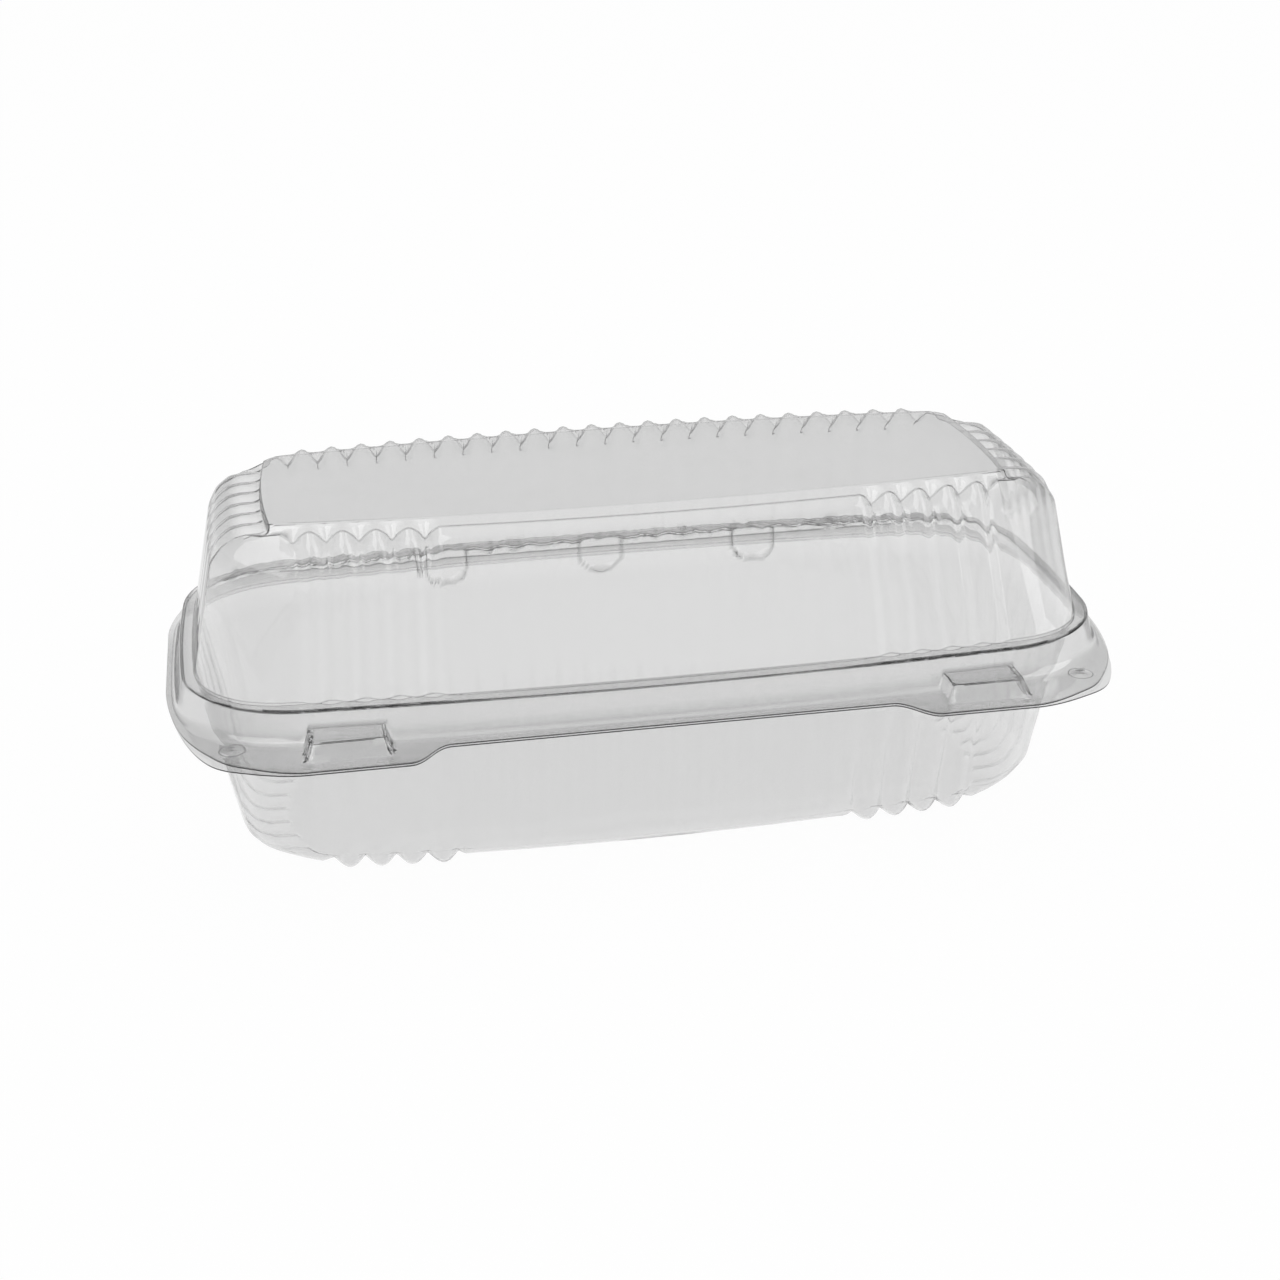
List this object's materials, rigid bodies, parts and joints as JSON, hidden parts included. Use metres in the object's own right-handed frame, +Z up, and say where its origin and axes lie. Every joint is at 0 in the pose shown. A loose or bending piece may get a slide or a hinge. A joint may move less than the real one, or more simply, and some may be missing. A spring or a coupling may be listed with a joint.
{
  "type": "plastic takeout container",
  "caption": "Clear hinged takeout box: a deep fluted tray and a tall fluted lid that fold on a line at the back, with tabbed flanges, locking boxes and a plain front window.",
  "frame": {"origin": "middle of the floor underside, on the surface the container stands on", "axes": "+X along the length, +Y towards the hinge at the back, +Z up"},
  "size_m": [0.235, 0.1282, 0.0881],
  "materials": {
    "clear_sheet": "clear, smooth, glossy"
  },
  "bodies": {
    "tray": {"tray": "clear_sheet"},
    "lid": {"lid": "clear_sheet"}
  },
  "joints": [
    {"name": "lid_hinge", "type": "hinge", "parent": "tray", "child": "lid", "pos_m": [0, 0.0618, 0.04315], "axis": [-1, 0, 0], "range_deg": [0, 175]}
  ]
}
